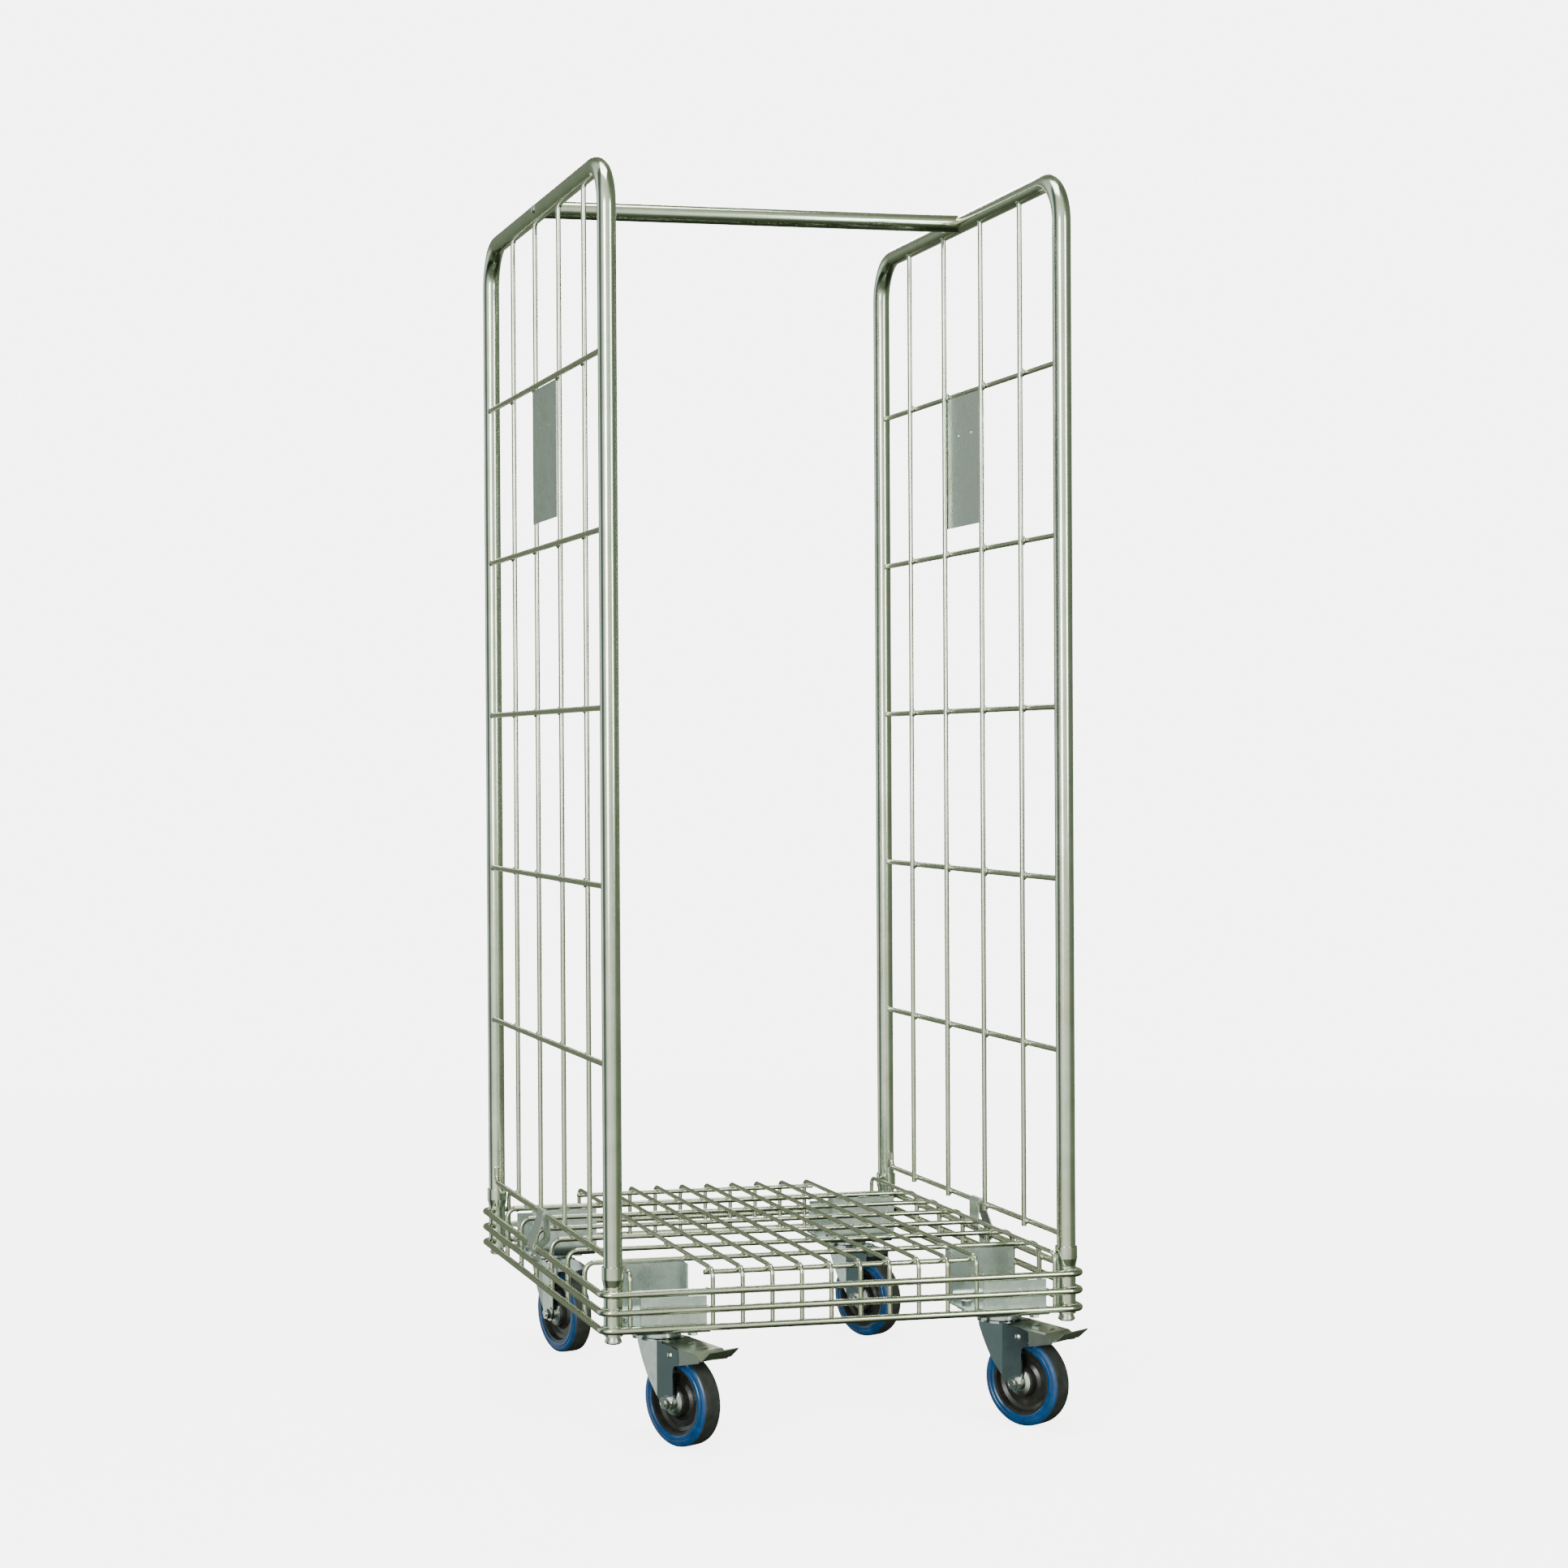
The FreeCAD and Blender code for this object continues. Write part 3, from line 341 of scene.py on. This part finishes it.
def wheel_frame(tree, corner):
    """A point's distance along one wheel's axle from its middle, and its distance from the axle."""
    roll = JOINTS["roll_" + corner]
    mapping = tree.nodes.new("ShaderNodeMapping")
    mapping.vector_type = "TEXTURE"
    mapping.inputs["Location"].default_value = roll["pos_m"]
    mapping.inputs["Rotation"].default_value = (0, 0, -math.atan2(roll["axis"][0], roll["axis"][1]))
    tree.links.new(tree.place, mapping.inputs["Vector"])
    split = tree.nodes.new("ShaderNodeSeparateXYZ")
    tree.links.new(mapping.outputs["Vector"], split.inputs[0])
    side = tree.math("ABSOLUTE", split.outputs["Y"], 0.0)
    squares = [tree.math("POWER", split.outputs[axis], 2.0) for axis in "XZ"]
    return side, tree.math("POWER", tree.math("ADD", *squares), 0.5)


# Where the tread's grey turns blue, from the wheel's middle, and where dust builds up, from the axle
TREAD_EDGE = (0.0129, 0.0135)
SHOULDER = (0.0615, 0.0634)


def tyre_material(corner):
    """Blue elastic rubber on the sides, dark grey on the worn tread, dust at the shoulder."""
    tree = Nodes("tyre_rubber_" + corner)
    side, radius = wheel_frame(tree, corner)
    wobble = tree.levels(tree.noise(60.0, 3.0), -0.0003, 0.0003)
    edge = tree.levels(tree.math("ADD", side, wobble), 0.0, 1.0, *TREAD_EDGE)
    smear = tree.noise(70.0, 5.0)
    blue = tree.ramp(smear, [(0.3, (0.001, 0.036, 0.120)), (0.55, (0.002, 0.052, 0.175)),
                             (0.75, (0.005, 0.075, 0.23))])
    grey = tree.ramp(smear, [(0.3, (0.016, 0.018, 0.016)), (0.6, (0.032, 0.035, 0.031)),
                             (0.8, (0.060, 0.060, 0.052))])
    dusty = tree.math("MULTIPLY", tree.levels(radius, 0.0, 1.0, *SHOULDER), 0.45)
    blue = tree.mix(dusty, blue, (0.02, 0.040, 0.065))
    colour = tree.mix(edge, grey, blue)
    rough = tree.math("SUBTRACT", tree.levels(smear, 0.50, 0.68), tree.math("MULTIPLY", edge, 0.36))
    height = tree.math("ADD", tree.noise(700.0, 3.0), tree.math("MULTIPLY", smear, 0.6))
    tree.bump(height, 0.18, 0.0003)
    return tree.finish(colour, rough, 0.0)


def paint(material, *names):
    for name in names:
        node = frame["nodes"][name]
        node.data.materials.clear()
        node.data.materials.append(material)


def paint_all():
    """Gives every CAD node its finish, and returns the one for the fixings."""
    pale_tube = ((0.42, 0.48, 0.38), (0.66, 0.72, 0.60))
    pale_wire = ((0.44, 0.49, 0.38), (0.66, 0.71, 0.58))
    # painted shade: every lying wire gets a darker, more olive copy of the upright wires' zinc, standing in
    # for the olive room and dark floor that the lying wires face
    lying_wire_painted_shade = ((0.40, 0.43, 0.32), (0.62, 0.65, 0.52))
    tube = zinc("zinc_tube", *pale_tube, (0.12, 0.20), (300, 300, 6), tarnish=0.25)
    bar = zinc("zinc_bar", *pale_tube, (0.12, 0.20), (6, 300, 300), tarnish=0.25)
    wire_z = zinc("zinc_wire_upright", *pale_wire, (0.14, 0.24), (500, 500, 12))
    wire_y = zinc("zinc_wire_length", *lying_wire_painted_shade, (0.14, 0.24), (500, 12, 500))
    wire_x = zinc("zinc_wire_cross", *lying_wire_painted_shade, (0.14, 0.24), (12, 500, 500))
    sheet = zinc("zinc_sheet", (0.42, 0.50, 0.49), (0.64, 0.71, 0.68), (0.24, 0.38), (60, 60, 20),
                 mottle=16.0, spangle=0.22, tarnish=0.2, relief=0.06)
    press = zinc("zinc_pressing", (0.38, 0.45, 0.46), (0.56, 0.63, 0.62), (0.12, 0.20), (80, 80, 80),
                 mottle=18.0, spangle=0.08, tarnish=0.2, relief=0.03)
    pedal = zinc("zinc_pedal", (0.42, 0.47, 0.42), (0.60, 0.65, 0.56), (0.26, 0.38), (80, 80, 80),
                 mottle=18.0, spangle=0.08, tarnish=0.2, relief=0.03)
    fixing = zinc("zinc_fixing", (0.50, 0.53, 0.50), (0.64, 0.67, 0.63), (0.18, 0.30), (200, 200, 200),
                  mottle=60.0, relief=0.03)
    plug = zinc("zinc_plug", (0.42, 0.43, 0.38), (0.62, 0.63, 0.56), (0.26, 0.40), (200, 200, 200),
                mottle=60.0, relief=0.05)
    hub = hub_material()
    for side in SIDES:
        paint(tube, "side_frame_tube_" + side)
        paint(wire_z, "panel_uprights_" + side)
        paint(wire_y, "panel_cross_wires_" + side, "panel_bottom_wire_" + side)
    paint(bar, "top_bar")
    paint(wire_y, "deck_length_wires", "rim_rod_top", "rim_rod_middle", "rim_rod_bottom")
    paint(wire_x, "deck_cross_wires", "deck_end_wires")
    paint(sheet, "label_plates", "retaining_straps")
    paint(press, "swivel_race_rings")
    paint(plug, "socket_foot_plugs")
    paint(fixing, "caster_plate_bolts", "swivel_balls", "kingpins", "strap_rivets", "top_bar_fixings")
    for corner, (side, end) in CORNERS.items():
        paint(tube, "corner_socket_" + corner)
        paint(sheet, "caster_bracket_" + corner)
        paint(press, "caster_top_plate_" + corner, "caster_fork_" + corner)
        paint(fixing, "caster_axle_" + corner, "wheel_bearing_" + corner)
        paint(hub, "wheel_hub_" + corner)
        paint(tyre_material(corner), "tyre_" + corner)
        if end < 0:
            paint(pedal, "brake_pedal_" + corner)
            paint(fixing, "pedal_pivots_" + corner)
    return fixing


# Where the wires are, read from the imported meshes

def islands(node):
    """(lowest corner, highest corner) of each separate solid of a CAD node."""
    mesh = frame["nodes"][node].data
    owner = {}

    def root(key):
        while owner[key] != key:
            owner[key] = owner[owner[key]]
            key = owner[key]
        return key
    keys = [tuple(round(c, 5) for c in v.co) for v in mesh.vertices]
    for key in keys:
        owner.setdefault(key, key)
    for edge in mesh.edges:
        a, b = (root(keys[i]) for i in edge.vertices)
        if a != b:
            owner[a] = b
    groups = {}
    for key in set(keys):
        groups.setdefault(root(key), []).append(key)
    boxes = [(Vector(map(min, zip(*points))), Vector(map(max, zip(*points)))) for points in groups.values()]
    return sorted(boxes, key=lambda b: tuple(round(c, 4) for c in b[0] + b[1]))


def centre(solid):
    return (solid[0] + solid[1]) / 2


def add_piece(name, mesh, body, material):
    """Makes a smooth piece of a bmesh and lets it ride on a body."""
    data = bpy.data.meshes.new(name)
    mesh.to_mesh(data)
    mesh.free()
    data.materials.append(material)
    data.polygons.foreach_set("use_smooth", [True] * len(data.polygons))
    piece = bpy.data.objects.new(name, data)
    bpy.context.scene.collection.objects.link(piece)
    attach(piece, body)


# Weld metal. A fillet's radii are given in order of X, Y and Z.

LUMP_SPREAD = 0.12
LUMP_RELIEF = 0.22
LUMP_WAVES = 1.7
BEAD_STEP = 0.9


class WeldSeam:
    """One mesh of many small lumps of weld metal."""

    def __init__(self, name):
        self.name = name
        self.mesh = bmesh.new()
        self.draw = random.Random(name)

    def blob(self, place, radii, detail=2):
        """A lump: an ellipsoid with an uneven skin."""
        seed = Vector([self.draw.uniform(0, 50) for _ in range(3)])
        made = bmesh.ops.create_icosphere(self.mesh, subdivisions=detail, radius=1.0)
        size = 1.0 + self.draw.uniform(-LUMP_SPREAD, LUMP_SPREAD)
        for vert in made["verts"]:
            swell = size * (1.0 + LUMP_RELIEF * noise.noise(vert.co * LUMP_WAVES + seed))
            vert.co = Vector(place) + Vector([c * r for c, r in zip(vert.co * swell, radii)])

    def bead(self, start, end, radii):
        """A row of overlapping lumps."""
        start, end = Vector(start), Vector(end)
        steps = max(2, round((end - start).length / (BEAD_STEP * min(radii))))
        for i in range(steps + 1):
            self.blob(start.lerp(end, i / steps), radii)

    def ride(self, body, material):
        add_piece(self.name, self.mesh, body, material)


def weld_panel(name, side, material):
    """Fillets where a side frame's wires cross, and where they meet the tube."""
    seam = WeldSeam("welds_panel_" + name)
    uprights = islands("panel_uprights_" + name)
    levels = islands("panel_cross_wires_" + name)
    bottom = islands("panel_bottom_wire_" + name)[0]
    touch_x = centre(levels[0]).x - side * (levels[0][1].x - levels[0][0].x) / 2
    crossing = (0.0032, 0.0068, 0.0066)
    post_end = (0.0056, 0.0030, 0.0056)
    foot = (0.0030, 0.0054, 0.0056)
    tube_end = (0.0052, 0.0056, 0.0028)
    upturn_bead = (0.0022, 0.0022, 0.0030)
    bottom_r, upturn_start = 0.004, 0.014
    for level in levels:
        z = centre(level).z
        for upright in uprights:
            seam.blob((touch_x, centre(upright).y, z), crossing)
        for y, inward in ((level[0].y, 1), (level[1].y, -1)):
            seam.blob((centre(level).x, y + inward * 0.0006, z), post_end)
    wire_z = bottom[0].z + bottom_r
    for upright in uprights:
        y = centre(upright).y
        seam.blob((touch_x, y, wire_z), foot)
        seam.blob((centre(upright).x, y, upright[1].z - 0.0002), tube_end)
    bead_x = centre(bottom).x - side * 0.003
    for y, outward in ((bottom[0].y, -1), (bottom[1].y, 1)):
        edge = y + outward * 0.0002
        seam.bead((bead_x, edge, wire_z + upturn_start), (bead_x, edge, bottom[1].z), upturn_bead)
    seam.ride("cage", material)


def rim_heights():
    return [centre(islands("rim_rod_" + name)[0]).z for name in ("top", "middle", "bottom")]


def weld_deck(material):
    """Nuggets under the deck's crossings, and fillets where the turned-down ends meet the rim rods."""
    seam = WeldSeam("welds_deck")
    lengths = islands("deck_length_wires")
    crosses = islands("deck_cross_wires")
    ends = islands("deck_end_wires")
    rims = rim_heights()
    length_wire_d = 0.0065
    touch_z = lengths[0][1].z - length_wire_d
    nugget = (0.0048, 0.0052, 0.0026)
    end_fillet = (0.0050, 0.0020, 0.0046)
    side_fillet = (0.0020, 0.0054, 0.0046)
    seat = 0.0003
    for length in lengths:
        x = centre(length).x
        for cross in crosses + ends:
            if cross[0].x < x < cross[1].x:
                seam.blob((x, centre(cross).y, touch_z), nugget)
        for y, inward in ((length[0].y, 1), (length[1].y, -1)):
            for z in rims:
                seam.blob((x, y + inward * seat, z), end_fillet)
    for cross in crosses:
        for x, inward in ((cross[0].x, 1), (cross[1].x, -1)):
            for z in rims:
                seam.blob((x + inward * seat, centre(cross).y, z), side_fillet)
    seam.ride("cage", material)


def weld_rims(material):
    """Beads between each socket and the rim rods, and along the brackets' flanges."""
    seam = WeldSeam("welds_rim")
    rims = rim_heights()
    fan = range(-56, 57, 14)
    socket_lump = (0.0020, 0.0020, 0.0018)
    rim_bead = (0.0022, 0.0016, 0.0024)
    deck_bead = (0.0026, 0.0022, 0.0018)
    socket_reach, bead_lift = 0.0142, 0.0042
    flange_inset, rim_half, deck_half = 0.0055, 0.003, 0.007
    for corner, (side, end) in CORNERS.items():
        post = centre(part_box("corner_socket_" + corner))
        outward = Vector((side, end, 0)).normalized()
        for z in rims:
            for degrees in fan:
                direction = Matrix.Rotation(math.radians(degrees), 3, "Z") @ outward
                for lift in (-bead_lift, bead_lift):
                    place = Vector((post.x, post.y, z + lift)) + direction * socket_reach
                    seam.blob(place, socket_lump, 1)
        low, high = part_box("caster_bracket_" + corner)
        rim_y, tall_y = (low.y, high.y) if end < 0 else (high.y, low.y)
        bead_y = rim_y - end * 0.0006
        for x in (low.x + flange_inset, high.x - flange_inset):
            for z in rims:
                seam.bead((x, bead_y, z - rim_half), (x, bead_y, z + rim_half), rim_bead)
        for share in (0.15, 0.5, 0.85):
            x = low.x + (high.x - low.x) * share
            seam.bead((x - deck_half, tall_y, high.z), (x + deck_half, tall_y, high.z), deck_bead)
    seam.ride("cage", material)


# Screw threads

def wind_thread(mesh, start, along, length, radius, pitch):
    """Winds a thread's ridge round a bolt, from start along its axis."""
    along = Vector(along).normalized()
    across = along.orthogonal().normalized()
    third = along.cross(across)
    steps = 24
    depth = 0.0003
    flank = 0.46 * pitch
    rings = []
    for i in range(int(length / pitch * steps) + 1):
        angle = 2 * math.pi * i / steps
        out = across * math.cos(angle) + third * math.sin(angle)
        place = Vector(start) + along * (pitch * i / steps)
        foot = place + out * (radius - depth)
        rings.append([mesh.verts.new(foot - along * flank), mesh.verts.new(place + out * (radius + depth)),
                      mesh.verts.new(foot + along * flank)])
    for a, b in zip(rings, rings[1:]):
        for i in range(3):
            j = (i + 1) % 3
            mesh.faces.new((a[i], a[j], b[j], b[i]))
    mesh.faces.new(rings[0])
    mesh.faces.new(reversed(rings[-1]))
    bmesh.ops.recalc_face_normals(mesh, faces=mesh.faces)


def thread_axles(material):
    """The threaded end of each axle bolt, beyond its nut."""
    axle_r, nut_end, bolt_end, start_gap, pitch = 0.005, 0.0358, 0.0372, 0.0005, 0.0012
    for corner in CORNERS:
        roll = JOINTS["roll_" + corner]
        axis = Vector(roll["axis"])
        mesh = bmesh.new()
        start = Vector(roll["pos_m"]) - axis * (nut_end + start_gap)
        wind_thread(mesh, start, -axis, bolt_end - nut_end, axle_r, pitch)
        add_piece("axle_thread_" + corner, mesh, "caster_" + corner, material)


add_camera()
add_lights()
add_world()
add_floor()
fixing = paint_all()
weld = weld_material()
for name, side in SIDES.items():
    weld_panel(name, side, weld)
weld_deck(weld)
weld_rims(weld)
thread_axles(fixing)
